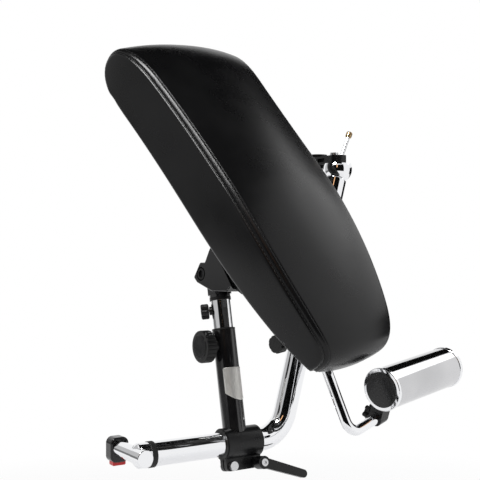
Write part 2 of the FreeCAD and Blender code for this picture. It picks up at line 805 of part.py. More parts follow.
def make_tilt_housing():
    outline = housing_outline()
    lower_width = housing_width / 2
    body = side_profile(outline, lower_width)
    body = body.makeFillet(housing_rounding, edges_parallel(body, X_AXIS))
    rims = [e for e in body.Edges if abs(abs(e.CenterOfMass.x) - lower_width) < lower_width * match_share]
    body = body.makeFillet(housing_rim, rims)
    for side in (-1, 1):
        x_in = side * housing_top_width / 2
        x_out = side * (lower_width + overrun)
        low, high = sorted((x_in, x_out))
        shoulder = block(low, high, -housing_height, housing_height,
                         housing_shoulder_up, housing_height + overrun)
        body = body.cut(shoulder)
    gap = lower_width - housing_cheek
    front_in = housing_front_share * eye_r - housing_wall
    back_in = housing_back_wall_share * eye_r - housing_wall
    cavity = block(-gap, gap, -front_in, back_in, -housing_height, housing_height - housing_top_wall)
    mouth_back = block(-gap, gap, 0, housing_height, -housing_height, mouth_back_up)
    mouth_front = block(-gap, gap, -housing_height, 0, -housing_height, mouth_front_up)
    body = body.cut(cavity).cut(mouth_back).cut(mouth_front)
    pin_hole = put(rod(tilt_pin_d / 2, -housing_width, housing_width), along(X_AXIS))
    recess = rod(tilt_recess_d / 2, lower_width - tilt_pin_head_height, housing_width)
    pin_hole = pin_hole.fuse([put(recess, along(X_AXIS)), put(recess, along(X_AXIS * -1))])
    bolt_hole = rod(turn_bolt_d / 2 + running_gap, 0, housing_height + overrun)
    return put(body.cut(pin_hole).cut(bolt_hole), HEAD)


def make_tilt_pin():
    half = housing_width / 2
    pin = rod(tilt_pin_d / 2, -half, half)
    head = rod(tilt_pin_head_d / 2, -half, -half + tilt_pin_head_height)
    socket = hexagon(tilt_pin_d / 2, -half - overrun, -half + tilt_pin_head_height / 2)
    return put(pin.fuse(head).cut(socket), HEAD.multiply(along(X_AXIS)))


def make_tilt_nut():
    half = housing_width / 2
    nut = hexagon(tilt_pin_head_d / 2 * hex_share, half - tilt_pin_head_height, half)
    nut = nut.cut(rod(tilt_pin_d / 2, 0, half + overrun))
    return put(nut, HEAD.multiply(along(X_AXIS)))


def make_tilt_washers():
    inner = eye_thickness / 2 + tilt_washer_gap
    outer = housing_width / 2 - housing_cheek
    washers = []
    for start in (inner, -outer):
        ring = sleeve(tilt_washer_d / 2, tilt_pin_d / 2 + running_gap, start, start + outer - inner)
        washers.append(put(ring, HEAD.multiply(along(X_AXIS))))
    return Part.makeCompound(washers)


# Pad and what it is bolted to
MOUNT = PAD.multiply(place(V(pad_mount_l, 0, 0)))
plate_low = -board_height - plate_height


def make_turn_washer():
    low = plate_low - turn_washer_height
    ring = sleeve(turn_washer_d / 2, turn_bolt_d / 2 + running_gap, low, plate_low)
    return put(ring, MOUNT)


def make_turn_bolt():
    low = plate_low - turn_washer_height - turn_washer_gap - housing_top_wall - turn_nut_gap
    return put(rod(turn_bolt_d / 2, low - turn_nut_height - overrun, plate_low), MOUNT)


def make_turn_nut():
    high = plate_low - turn_washer_height - turn_washer_gap - housing_top_wall - turn_nut_gap
    nut = hexagon(turn_nut_d / 2 * hex_share, high - turn_nut_height, high)
    nut = nut.cut(rod(turn_bolt_d / 2, high - turn_nut_height - overrun, high + overrun))
    return put(nut, MOUNT)


def plate_screw_places():
    reach_l = plate_length / 2 - plate_screw_inset
    reach_w = plate_width / 2 - plate_screw_inset
    return [(pad_mount_l + a * reach_l, b * reach_w) for a in (-1, 1) for b in (-1, 1)]


def make_mount_plate():
    half_w = plate_width / 2
    start = pad_mount_l - plate_length / 2
    plate = rounded_block(start, start + plate_length, -half_w, half_w, plate_low, -board_height,
                          plate_corner)
    return put(plate, PAD)


def screw_group(places, low):
    screws = []
    for l, w in places:
        head = turned([(0, low - plate_screw_height), (plate_screw_d / 4, low - plate_screw_height),
                       (plate_screw_d / 2, low - plate_screw_height / 3), (plate_screw_d / 2, low), (0, low)])
        screws.append(put(head, PAD.multiply(place(V(l, w, 0)))))
    return Part.makeCompound(screws)


def pad_half_width(l):
    share = 2 * l / pad_length
    change = pad_upper_flare if share < 0 else -pad_lower_taper
    near_end = max(0.0, 1 - (pad_length / 2 - abs(l)) / pad_corner_reach)
    corner = pad_corner_in * near_end ** pad_corner_power
    return pad_mid_width / 2 + change * abs(share) ** pad_taper_power - corner


def pad_seam_height(l):
    # height of the side panel's seam: level in the middle, rounded down at both ends
    share = 2 * l / pad_length
    top = pad_side_height - pad_sag * share * share
    half = pad_length / 2
    if l < -half + pad_upper_round:
        inner = (-half + pad_upper_round - l) / pad_upper_round
        end_height, k = pad_upper_end_height, pad_upper_power
    elif l > half - pad_lower_round:
        inner = (l - half + pad_lower_round) / pad_lower_round
        end_height, k = pad_lower_end_height, pad_lower_power
    else:
        return top
    return end_height + (top - end_height) * max(0.0, 1 - inner ** k) ** (1 / k)


def pad_stations():
    half = pad_length / 2
    upper = [-half + share * pad_upper_round for share in pad_round_shares]
    lower = [half - share * pad_lower_round for share in reversed(pad_round_shares)]
    start = -half + pad_upper_round
    end = half - pad_lower_round
    middle = [start + share * (end - start) for share in pad_middle_shares]
    return upper + middle + lower


def pad_section(l):
    # one slice of the cushion: flat underside, swelling sides and a crowned top
    half = pad_half_width(l)
    seam = pad_seam_height(l)
    crown = pad_crown * seam / pad_side_height
    bulge = pad_side_swell * seam / pad_side_height
    foot = half - pad_side_swell
    low_left, low_right = V(l, -foot, 0), V(l, foot, 0)
    top_left, top_right = V(l, -half, seam), V(l, half, seam)
    side_left = Part.Arc(low_left, V(l, -(foot + half) / 2 - bulge, seam / 2), top_left).toShape()
    side_right = Part.Arc(top_right, V(l, (foot + half) / 2 + bulge, seam / 2), low_right).toShape()
    top = Part.Arc(top_left, V(l, 0, seam + crown), top_right).toShape()
    return Part.Wire([side_left, top, side_right, Part.makeLine(low_right, low_left)])


def make_pad_cushion():
    return put(Part.makeLoft([pad_section(l) for l in pad_stations()], True), PAD)


def make_pad_board():
    half = pad_length / 2 - board_inset
    corners = []
    stations = [-half, -half / 2, 0, half / 2, half]
    for l in stations:
        corners.append(V(l, -pad_half_width(l) + board_inset, -board_height))
    for l in reversed(stations):
        corners.append(V(l, pad_half_width(l) - board_inset, -board_height))
    slab = Part.Face(Part.makePolygon(corners + corners[:1])).extrude(V(0, 0, board_height))
    ends = [e for e in edges_parallel(slab, Z_AXIS) if abs(abs(e.CenterOfMass.x) - half) < board_inset / 2]
    return put(slab.makeFillet(board_corner, ends), PAD)


# Grip bracket, cross shaft and its knob
GRIP_PIVOT = PAD.multiply(place(V(grip_pivot_l, 0, -grip_pivot_below)))
PIVOT_AXIS = GRIP_PIVOT.multiply(along(Y_AXIS))
ear_in = block_half_width + block_side_gap
rod_start = shaft_d / 2 + shaft_gap + rod_root_wall


def make_grip_bracket():
    high = grip_pivot_below - board_height
    half_l = bracket_base_length / 2
    half_w = bracket_base_width / 2
    base = rounded_block(-half_l, half_l, -half_w, half_w, high - bracket_base_height, high,
                         bracket_screw_inset)
    for side in (-1, 1):
        y0, y1 = sorted((side * ear_in, side * (ear_in + bracket_ear)))
        web = block(-ear_r, ear_r, y0, y1, 0, high - bracket_base_height / 2)
        disc = put(rod(ear_r, y0, y1), along(Y_AXIS))
        base = base.fuse(web).fuse(disc)
    hole = put(rod(shaft_d / 2 + shaft_gap, -half_w, half_w), along(Y_AXIS))
    return put(base.cut(hole).removeSplitter(), GRIP_PIVOT)


def bracket_screw_places():
    reach_l = bracket_base_length / 2 - bracket_screw_inset
    reach_w = bracket_base_width / 2 - bracket_screw_inset
    return [(grip_pivot_l + a * reach_l, b * reach_w) for a in (-1, 1) for b in (-1, 1)]


def make_pivot_block():
    body = rod(block_r, -block_half_width, block_half_width)
    body = body.cut(rod(shaft_d / 2 + shaft_gap, -block_half_width - overrun, block_half_width + overrun))
    body = put(body, PIVOT_AXIS)
    return body.cut(put(rod(rod_d / 2, rod_start, block_r * 2), ROD_ROOT))


def make_grip_shaft():
    end = ear_in + bracket_ear + shaft_nut_height
    start = -arm_knob_from_centre - arm_knob_thickness / 2
    return put(rod(shaft_d / 2, start, end), PIVOT_AXIS)


def make_shaft_nut():
    start = ear_in + bracket_ear
    nut = hexagon(shaft_nut_d / 2 * hex_share, start, start + shaft_nut_height)
    nut = nut.cut(rod(shaft_d / 2 + shaft_gap, start - overrun, start + shaft_nut_height + overrun))
    return put(nut, PIVOT_AXIS)


def make_arm_knob():
    start = -arm_knob_from_centre - arm_knob_thickness
    end = -arm_knob_from_centre
    body = scalloped(arm_knob_d / 2, start, end, arm_knob_flute_count, arm_knob_flute_d / 2, knob_edge)
    body = body.cut(rod(shaft_d / 2, end - arm_knob_thickness / 2, end + overrun))
    return put(body, PIVOT_AXIS)


def make_arm_sleeve():
    inner = -ear_in - bracket_ear - block_side_gap
    ring = sleeve(arm_sleeve_d / 2, shaft_d / 2 + shaft_gap, -arm_knob_from_centre, inner)
    return put(ring, PIVOT_AXIS)


# Bent rod: local Z runs down the first leg from the pivot, local Y across the pad
ROD_ROOT = GRIP_PIVOT.multiply(place(V(0, rod_across, 0), Y_AXIS, 90 + rod_drop_deg))
ROD_BEND = ROD_ROOT.multiply(place(V(0, 0, rod_reach)))
ROD_SIDE = ROD_BEND.multiply(place(V(0, 0, 0), X_AXIS, -rod_bend_deg))


def make_grip_rod():
    r = rod_d / 2
    turn = math.radians(rod_bend_deg)
    tangent = rod_bend_r * math.tan(turn / 2)
    first = put(rod(r, rod_start, rod_reach - tangent), ROD_ROOT)
    disc = Part.Face(Part.Wire(Part.makeCircle(r, V(0, 0, rod_reach - tangent), Z_AXIS)))
    bend = disc.revolve(V(0, rod_bend_r, rod_reach - tangent), V(-1, 0, 0), rod_bend_deg)
    second = put(rod(r, tangent, rod_side_reach), ROD_SIDE)
    return first.fuse([put(bend, ROD_ROOT), second]).removeSplitter()


# Hand grip, its end pieces and the block that holds it on the rod
GRIP = PAD.multiply(place(V(grip_l, grip_start_w, -grip_below))).multiply(along(Y_AXIS))


clamp_shell_r = rod_d / 2 + clamp_block_wall
clamp_middle = ROD_SIDE.multVec(V(0, 0, clamp_block_from_bend + clamp_block_width / 2))
clamp_place = GRIP.inverse().multVec(clamp_middle)
clamp_reach = math.hypot(clamp_place.x, clamp_place.y)
clamp_angle = math.degrees(math.atan2(clamp_place.y, clamp_place.x))
# local X of this frame runs from the grip's axis out through the rod at the block's middle
CLAMP = GRIP.multiply(place(V(0, 0, clamp_place.z), Z_AXIS, clamp_angle))


def clamp_screw_frame():
    # local Z points out from the rod's axis, across the grip's radius
    return CLAMP.multiply(place(V(clamp_reach, 0, 0))).multiply(along(Y_AXIS))


def make_clamp_block():
    start = clamp_block_from_bend
    end = start + clamp_block_width
    half = clamp_block_width / 2
    barrel = put(rod(clamp_shell_r, start, end), ROD_SIDE)
    web = block(0, clamp_reach, -clamp_shell_r, clamp_shell_r, -half, half)
    body = barrel.fuse(put(web, CLAMP))
    body = body.cut(put(rod(grip_d / 2 + grip_ring_proud, -grip_length, grip_length * 2), GRIP))
    bore = rod(rod_d / 2 + rod_gap, -rod_reach, rod_side_reach + rod_gap)
    screw_hole = rod(clamp_screw_d / 2 + bolt_gap, 0, clamp_shell_r + overrun)
    return body.cut(put(bore, ROD_SIDE)).cut(put(screw_hole, clamp_screw_frame()))


def make_clamp_screw():
    end = clamp_shell_r + clamp_knob_gap + clamp_knob_thickness / 2
    return put(rod(clamp_screw_d / 2, rod_d / 2 + clamp_screw_gap, end), clamp_screw_frame())


def make_clamp_knob():
    start = clamp_shell_r + clamp_knob_gap
    body = lobed(clamp_knob_d, clamp_knob_core_d, clamp_knob_lobe_d, clamp_knob_lobe_count,
                 start, start + clamp_knob_thickness)
    body = body.cut(rod(clamp_screw_d / 2, start - overrun, start + clamp_knob_thickness / 2))
    return put(body, clamp_screw_frame())


def make_grip_tube():
    outer = grip_d / 2
    return put(sleeve(outer, outer - grip_wall, grip_ring_length, grip_length - grip_ring_length), GRIP)


def make_grip_rings():
    rings = []
    for start in (0, grip_length - grip_ring_length):
        ring = sleeve(grip_d / 2 + grip_ring_proud, grip_cap_d / 2, start, start + grip_ring_length)
        ring = ring.makeFillet(grip_ring_proud, circles(ring, grip_d / 2 + grip_ring_proud))
        rings.append(put(ring, GRIP))
    return Part.makeCompound(rings)


def make_grip_cap(start, end):
    cap = rod(grip_cap_d / 2, start, end)
    return put(cap, GRIP)


nodes = {
    "rail_tube": make_rail_tube(),
    "rail_seal_ring": make_seal_ring(),
    "rail_front_cap": make_front_cap(),
    "pivot_pin": make_pivot_pin(),
    "chair_socket": make_chair_socket(),
    "release_button": make_release_button(),
    "rail_top_cap": make_top_cap(),
    "upper_bracket": make_upper_bracket(),
    "upper_bracket_bolt": make_upper_bracket_bolt(),
    "pull_rod": make_pull_rod(),
    "pull_rod_knob": make_pull_knob(),
    "clamp_liner": make_clamp_liner(),
    "clamp_collar": make_clamp_collar(),
    "clamp_front_bolt": make_clamp_bolt(-1, 0),
    "clamp_lever_stud": make_clamp_bolt(1, lever_stud_gap + lever_hub_length / 2 - bolt_gap),
    "clamp_nuts": make_clamp_nuts(),
    "clamp_lever": make_clamp_lever(),
    "clamp_lever_screw": make_lever_screw(),
    "outer_tube": make_outer_tube(),
    "outer_tube_bush": make_outer_bush(),
    "height_knob_boss": make_knob_boss(),
    "height_knob": make_height_knob(),
    "height_knob_cap": make_height_knob_cap(),
    "height_knob_stud": make_height_stud(),
    "inner_tube": make_inner_tube(),
    "inner_tube_glide": make_inner_glide(),
    "tube_top_bush": make_top_bush(),
    "lock_knob_boss": make_lock_boss(),
    "lock_knob": make_lock_knob(),
    "lock_knob_screw": make_lock_screw(),
    "head_stem": make_head_stem(),
    "tilt_housing": make_tilt_housing(),
    "tilt_pin": make_tilt_pin(),
    "tilt_pin_nut": make_tilt_nut(),
    "tilt_washers": make_tilt_washers(),
    "turn_washer": make_turn_washer(),
    "turn_bolt": make_turn_bolt(),
    "turn_nut": make_turn_nut(),
    "pad_mount_plate": make_mount_plate(),
    "plate_screws": screw_group(plate_screw_places(), plate_low),
    "pad_board": make_pad_board(),
    "pad_cushion": make_pad_cushion(),
    "grip_bracket": make_grip_bracket(),
    "bracket_screws": screw_group(bracket_screw_places(), -board_height - bracket_base_height),
    "grip_shaft": make_grip_shaft(),
    "grip_shaft_nut": make_shaft_nut(),
    "grip_arm_knob": make_arm_knob(),
    "grip_arm_sleeve": make_arm_sleeve(),
    "grip_pivot_block": make_pivot_block(),
    "grip_rod": make_grip_rod(),
    "grip_clamp_block": make_clamp_block(),
    "grip_clamp_screw": make_clamp_screw(),
    "grip_clamp_knob": make_clamp_knob(),
    "grip_tube": make_grip_tube(),
    "grip_end_rings": make_grip_rings(),
    "grip_near_cap": make_grip_cap(-grip_cap_proud, grip_cap_thickness),
    "grip_far_cap": make_grip_cap(grip_length - grip_cap_thickness, grip_length + grip_cap_proud),
}

SEAT = place(V(0, -socket_y()[1], 0))

os.makedirs("parts", exist_ok=True)
for name, shape in nodes.items():
    seated = put(shape, SEAT)
    seated.exportStep("parts/" + name + ".step")
    print(name, len(seated.Solids), seated.isValid(), round(seated.Volume))
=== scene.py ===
import bpy
import bmesh
import json
import math
from mathutils import Matrix, Vector
from mathutils.bvhtree import BVHTree


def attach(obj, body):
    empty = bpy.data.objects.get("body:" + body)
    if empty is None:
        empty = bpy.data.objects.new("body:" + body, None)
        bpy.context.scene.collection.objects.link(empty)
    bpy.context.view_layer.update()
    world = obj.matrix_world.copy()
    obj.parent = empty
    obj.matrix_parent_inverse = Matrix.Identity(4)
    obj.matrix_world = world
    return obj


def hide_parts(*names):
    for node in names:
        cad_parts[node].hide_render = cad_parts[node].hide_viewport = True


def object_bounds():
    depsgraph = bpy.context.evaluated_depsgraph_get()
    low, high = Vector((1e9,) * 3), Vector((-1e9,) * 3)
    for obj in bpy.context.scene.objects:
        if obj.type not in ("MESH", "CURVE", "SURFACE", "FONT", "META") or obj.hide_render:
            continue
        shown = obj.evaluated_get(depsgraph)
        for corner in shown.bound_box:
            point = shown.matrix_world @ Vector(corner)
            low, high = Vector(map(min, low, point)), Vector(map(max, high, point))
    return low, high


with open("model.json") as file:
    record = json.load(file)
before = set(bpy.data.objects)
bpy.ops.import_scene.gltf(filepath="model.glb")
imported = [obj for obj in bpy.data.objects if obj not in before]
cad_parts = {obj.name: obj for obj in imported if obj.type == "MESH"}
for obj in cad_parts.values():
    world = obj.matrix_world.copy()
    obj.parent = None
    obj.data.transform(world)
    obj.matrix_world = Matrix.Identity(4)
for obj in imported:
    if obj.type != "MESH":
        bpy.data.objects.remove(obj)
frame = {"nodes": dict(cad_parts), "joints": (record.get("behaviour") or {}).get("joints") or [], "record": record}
cad_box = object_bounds()
nodes = frame["nodes"]
joints = {joint["name"]: joint for joint in frame["joints"]}
scene = bpy.context.scene
cad_middle = (cad_box[0] + cad_box[1]) / 2

# Camera, in metres and degrees, with the photograph's size in pixels
camera_place = Vector((-0.5730, -1.2194, 0.2881))
camera_azimuth_deg = -32.90
camera_elevation_deg = -0.465
camera_focal_px = 920.2
photo_px = 480
sensor_width = 36.0
camera_clip = (0.05, 60.0)

# Pad, in metres: the cover lies close round the solid cushion. L runs to the pad's lower end, W across, N out
pad_mount_l = 0.034
pad_length = 0.550
pad_side_height = 0.083
pad_mid_width = 0.212
pad_upper_flare = 0.015
pad_lower_taper = 0.035
pad_taper_power = 2.5
pad_crown = 0.0195
pad_end_crown = 0.007
pad_sag = 0.005
# the two ends seen from the side: how far each rounds, how squarely, and how it tucks in below
pad_upper_round = 0.095
pad_lower_round = 0.260
pad_upper_power = 2.4
pad_lower_power = 1.5
pad_upper_end_height = 0.036
pad_lower_end_height = 0.040
pad_upper_tuck = 0.034
pad_lower_tuck = 0.008
# how far the cover reaches past the solid at its ends, and how its lower end is smoothed
pad_upper_grow = 0.001
pad_lower_grow = 0.004
pad_smooth_from = 0.15
pad_smooth_rounds = 60
seam_line_steps = 120
# how the pad narrows at its corners, and how its sides bulge and turn in at the foot
pad_corner_in = 0.0035
pad_corner_reach = 0.048
pad_corner_power = 2.2
pad_side_bulge = 0.003
pad_edge_grow = 0.0018
pad_foot_round = 0.006
pad_foot_height = 0.030
# the rolled lower edge that hangs round the board
pad_rim = 0.0022
pad_rim_reach = 0.06
pad_rim_width = 0.014
pad_columns = 176
crown_power = 2.2
crown_fade_power = 3

# Seam between the side panels and the top panel, with a row of stitches on each side
seam_depth = 0.0024
seam_half_width = 0.0014
top_row_from_seam = 0.0083
side_row_from_seam = 0.0034
stitch_groove_depth = 0.0006
stitch_groove_half_width = 0.0013
stitch_length = 0.0048
stitch_pitch = 0.0066
stitch_r = 0.00042
stitch_sides = 6
# one stitch from end to end: share of its length, share of its radius, lift in radii
stitch_profile = [(0.0, 0.35, -0.9), (0.12, 0.85, -0.2), (0.35, 1.0, 0.15),
                  (0.65, 1.0, 0.15), (0.88, 0.85, -0.2), (1.0, 0.35, -0.9)]
# the rounded edge beside the seam: its slope there, how far that slope lasts and where it ends
top_edge = (0.400, 0.002, 0.01175)
side_edge = (0.500, 0.000, 0.011)
# distances from the seam where the mesh has a line, close together beside the seam
near_seam = [0.0, 0.0005, 0.0010, 0.0016, 0.0025, 0.0034, 0.0043, 0.0056, 0.0067, 0.0075, 0.0083, 0.0091,
             0.0100, 0.0114, 0.0130]
# distances from the foot of a side panel where the mesh has a line
near_foot = [0.0070, 0.0055, 0.0038, 0.0022, 0.0009, 0.0]
# where a side panel is shallow: the least depth counted, and the shares that keep its lines in order
least_depth = 0.004
seam_share_limit, seam_share_step = 0.6, 0.01
foot_share_limit, foot_share_step = 0.8, 0.02
# how much the lines down a side panel stand evenly, and how much they stand straight
even_part, straight_part = 0.35, 0.65
side_rows = 10
top_rows = 22
under_rows = 8

# Cloth: how the cover settles before its seams are pressed in
cloth_frames = 14
cloth_pressure = 3.0
cloth_stiffness = 25.0
cloth_bending = 4.0
cloth_quality = 5
cloth_cap = 0.0025
pinned_reach = 0.009
free_reach = 0.030

# The part of a noise's range that a material's colour and roughness follow
noise_low, noise_high = 0.3, 0.7
# how much of the leatherette's relief is fine noise, next to its cells
fine_grain_part = 0.35


def unit(vector):
    return Vector(vector).normalized()


# Frames that the joints give
PAD_N = unit(joints["pad_turn"]["axis"])
PAD_W = unit(joints["grip_arm_tilt"]["axis"])
PAD_L = PAD_W.cross(PAD_N).normalized()
PAD_ORIGIN = Vector(joints["pad_turn"]["pos_m"]) - pad_mount_l * PAD_L


def frame_matrix(origin, x, y, z):
    rows = Matrix((x, y, z)).transposed().to_4x4()
    return Matrix.Translation(origin) @ rows


PAD = frame_matrix(PAD_ORIGIN, PAD_L, PAD_W, PAD_N)


# Materials
def new_material(name, color, metallic=0.0, roughness=0.5, specular=0.5):
    material = bpy.data.materials.new(name)
    material.use_nodes = True
    shader = material.node_tree.nodes["Principled BSDF"]
    shader.inputs["Base Color"].default_value = (*color, 1.0)
    shader.inputs["Metallic"].default_value = metallic
    shader.inputs["Roughness"].default_value = roughness
    shader.inputs["Specular IOR Level"].default_value = specular
    return material, shader


def add_node(material, kind, **values):
    node = material.node_tree.nodes.new(kind)
    for name, value in values.items():
        if name in node.inputs:
            node.inputs[name].default_value = value
        else:
            setattr(node, name, value)
    return node


def link(material, source, output, target, entry):
    material.node_tree.links.new(source.outputs[output], target.inputs[entry])


def object_noise(material, scale, detail=4.0, stretch=(1.0, 1.0, 1.0)):
    place = add_node(material, "ShaderNodeTexCoord")
    mapping = add_node(material, "ShaderNodeMapping", Scale=stretch)
    noise = add_node(material, "ShaderNodeTexNoise", Scale=scale, Detail=detail)
    link(material, place, "Object", mapping, "Vector")
    link(material, mapping, "Vector", noise, "Vector")
    return noise


def vary_roughness(material, shader, noise, low, high):
    spread = add_node(material, "ShaderNodeMapRange")
    spread.inputs["From Min"].default_value = noise_low
    spread.inputs["From Max"].default_value = noise_high
    spread.inputs["To Min"].default_value = low
    spread.inputs["To Max"].default_value = high
    link(material, noise, "Fac", spread, "Value")
    link(material, spread, "Result", shader, "Roughness")


def vary_color(material, shader, noise, dark, light):
    ramp = add_node(material, "ShaderNodeValToRGB")
    ramp.color_ramp.elements[0].position = noise_low
    ramp.color_ramp.elements[0].color = (*dark, 1.0)
    ramp.color_ramp.elements[1].position = noise_high
    ramp.color_ramp.elements[1].color = (*light, 1.0)
    link(material, noise, "Fac", ramp, "Fac")
    link(material, ramp, "Color", shader, "Base Color")


def add_bump(material, shader, source, output, distance, strength=1.0):
    bump = add_node(material, "ShaderNodeBump", Strength=strength, Distance=distance)
    link(material, source, output, bump, "Height")
    link(material, bump, "Normal", shader, "Normal")


def make_chrome():
    material, shader = new_material("chrome", (0.86, 0.865, 0.88), 1.0)
    smudges = object_noise(material, 22.0, 6.0)
    vary_roughness(material, shader, smudges, 0.035, 0.075)
    ripple = object_noise(material, 60.0, 2.0)
    add_bump(material, shader, ripple, "Fac", 0.00002)
    return material


def make_satin():
    material, shader = new_material("satin_chrome", (0.60, 0.60, 0.61), 1.0)
    brushed = object_noise(material, 500.0, 4.0, (0.08, 1.0, 1.0))
    vary_roughness(material, shader, brushed, 0.05, 0.10)
    cloud = object_noise(material, 9.0, 3.0)
    vary_color(material, shader, cloud, (0.54, 0.54, 0.55), (0.66, 0.66, 0.67))
    add_bump(material, shader, brushed, "Fac", 0.00001)
    return material


def make_steel():
    material, shader = new_material("bright_steel", (0.62, 0.62, 0.63), 1.0)
    grain = object_noise(material, 900.0, 3.0, (1.0, 0.2, 1.0))
    vary_roughness(material, shader, grain, 0.22, 0.36)
    add_bump(material, shader, grain, "Fac", 0.00003)
    return material


def make_brass():
    material, shader = new_material("dark_brass", (0.38, 0.26, 0.13), 1.0)
    tarnish = object_noise(material, 300.0, 5.0)
    vary_color(material, shader, tarnish, (0.22, 0.14, 0.07), (0.52, 0.38, 0.2))
    vary_roughness(material, shader, tarnish, 0.16, 0.32)
    return material


def make_black_paint():
    material, shader = new_material("black_paint", (0.006, 0.006, 0.006), specular=0.3)
    peel = object_noise(material, 1100.0, 2.0)
    wear = object_noise(material, 40.0, 5.0)
    vary_roughness(material, shader, wear, 0.24, 0.36)
    vary_color(material, shader, wear, (0.004, 0.004, 0.0045), (0.008, 0.008, 0.0085))
    add_bump(material, shader, peel, "Fac", 0.00006)
    return material


def make_post_paint():
    material, shader = new_material("post_paint", (0.008, 0.008, 0.009))
    shader.inputs["Coat Weight"].default_value = 0.6
    shader.inputs["Coat Roughness"].default_value = 0.05
    wear = object_noise(material, 30.0, 5.0)
    vary_roughness(material, shader, wear, 0.16, 0.26)
    vary_color(material, shader, wear, (0.006, 0.006, 0.007), (0.011, 0.010, 0.010))
    return material


def make_gloss_plastic(name, color, light):
    material, shader = new_material(name, color, specular=0.35)
    shader.inputs["Coat Weight"].default_value = 0.15
    shader.inputs["Coat Roughness"].default_value = 0.08
    cloud = object_noise(material, 60.0, 4.0)
    vary_roughness(material, shader, cloud, 0.14, 0.26)
    vary_color(material, shader, cloud, color, light)
    grain = object_noise(material, 1500.0, 2.0)
    add_bump(material, shader, grain, "Fac", 0.00003)
    return material


def make_matte_plastic():
    material, shader = new_material("black_matte", (0.008, 0.008, 0.008), specular=0.3)
    grain = object_noise(material, 1800.0, 3.0)
    cloud = object_noise(material, 80.0, 4.0)
    vary_roughness(material, shader, cloud, 0.38, 0.52)
    vary_color(material, shader, cloud, (0.006, 0.006, 0.006), (0.011, 0.011, 0.011))
    add_bump(material, shader, grain, "Fac", 0.0001)
    return material


def make_rubber():
    material, shader = new_material("black_rubber", (0.012, 0.012, 0.012), specular=0.3)
    cloud = object_noise(material, 120.0, 4.0)
    vary_roughness(material, shader, cloud, 0.55, 0.72)
    vary_color(material, shader, cloud, (0.008, 0.008, 0.008), (0.016, 0.016, 0.016))
    return material


def make_painted_board():
    material, shader = new_material("painted_board", (0.018, 0.017, 0.016), 0.0, 0.6)
    grain = object_noise(material, 60.0, 8.0, (1.0, 8.0, 8.0))
    vary_color(material, shader, grain, (0.012, 0.012, 0.012), (0.026, 0.024, 0.022))
    vary_roughness(material, shader, grain, 0.5, 0.68)
    add_bump(material, shader, grain, "Fac", 0.00015)
    return material


def make_leatherette(name, dark, light):
    material, shader = new_material(name, dark, specular=0.26)
    cloud = object_noise(material, 14.0, 5.0)
    vary_color(material, shader, cloud, dark, light)
    vary_roughness(material, shader, cloud, 0.25, 0.32)
    place = add_node(material, "ShaderNodeTexCoord")
    grain = add_node(material, "ShaderNodeTexVoronoi", Scale=950.0, feature="SMOOTH_F1")
    link(material, place, "Object", grain, "Vector")
    fine = object_noise(material, 2200.0, 2.0)
    mixed = add_node(material, "ShaderNodeMath", operation="MULTIPLY_ADD")
    link(material, fine, "Fac", mixed, 0)
    mixed.inputs[1].default_value = fine_grain_part
    link(material, grain, "Distance", mixed, 2)
    add_bump(material, shader, mixed, "Value", 0.00004, 0.7)
    return material


def make_thread():
    material, shader = new_material("thread", (0.012, 0.012, 0.012), 0.0, 0.5, 0.3)
    twist = object_noise(material, 2600.0, 2.0)
    vary_color(material, shader, twist, (0.008, 0.008, 0.008), (0.02, 0.02, 0.02))
    add_bump(material, shader, twist, "Fac", 0.00012)
    return material


def make_plate_metal():
    material, shader = new_material("plate_silver", (0.62, 0.61, 0.58), 0.45)
    grain = object_noise(material, 700.0, 4.0, (1.0, 1.0, 0.1))
    vary_roughness(material, shader, grain, 0.32, 0.46)
    vary_color(material, shader, grain, (0.56, 0.55, 0.52), (0.68, 0.67, 0.64))
    return material


materials = {
    "chrome": make_chrome(),
    "satin": make_satin(),
    "steel": make_steel(),
    "brass": make_brass(),
    "paint": make_black_paint(),
    "post": make_post_paint(),
    "gloss": make_gloss_plastic("black_gloss", (0.004, 0.004, 0.0045), (0.008, 0.008, 0.0085)),
    "matte": make_matte_plastic(),
    "red": make_gloss_plastic("red_plastic", (0.42, 0.008, 0.010), (0.52, 0.012, 0.014)),
    "rubber": make_rubber(),
    "board": make_painted_board(),
    "leather": make_leatherette("leatherette", (0.003, 0.003, 0.0033), (0.006, 0.006, 0.0064)),
    "thread": make_thread(),
    "plate": make_plate_metal(),
}

slot_materials = {
    "chrome": "chrome",
    "bright_steel": "steel",
    "brass": "brass",
    "black_paint": "paint",
    "black_gloss": "gloss",
    "black_matte": "matte",
    "red_plastic": "red",
    "black_rubber": "rubber",
    "plywood": "board",
    "leatherette": "leather",
}
special_nodes = {"outer_tube": "post", "head_stem": "post", "grip_tube": "satin"}


def dress_nodes():
    # gives each solid the material of its slot in the record
    slots = {part["node"]: part["material_slot"] for part in frame["record"]["subparts"]}
    for name, node in nodes.items():
        chosen = materials[special_nodes.get(name, slot_materials[slots[name]])]
        node.data.materials.clear()
        node.data.materials.append(chosen)


def add_piece(name, mesh, body, material):
    # a piece of the scene that moves with a body
    piece = bpy.data.objects.new(name, mesh)
    scene.collection.objects.link(piece)
    mesh.materials.clear()
    mesh.materials.append(material)
    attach(piece, body)
    return piece


# The pad's form
def pad_half_width(l):
    # wider at the upper end, narrower at the lower end and at the corners
    share = 2 * l / pad_length
    change = pad_upper_flare if share < 0 else -pad_lower_taper
    near_end = max(0.0, 1 - (pad_length / 2 - abs(l)) / pad_corner_reach)
    corner = pad_corner_in * near_end ** pad_corner_power
    return pad_mid_width / 2 + change * abs(share) ** pad_taper_power - corner + pad_edge_grow


def seam_top(l):
    # the seam's height along the pad, before its ends round off
    share = 2 * l / pad_length
    return pad_side_height - pad_sag * share * share + pad_edge_grow


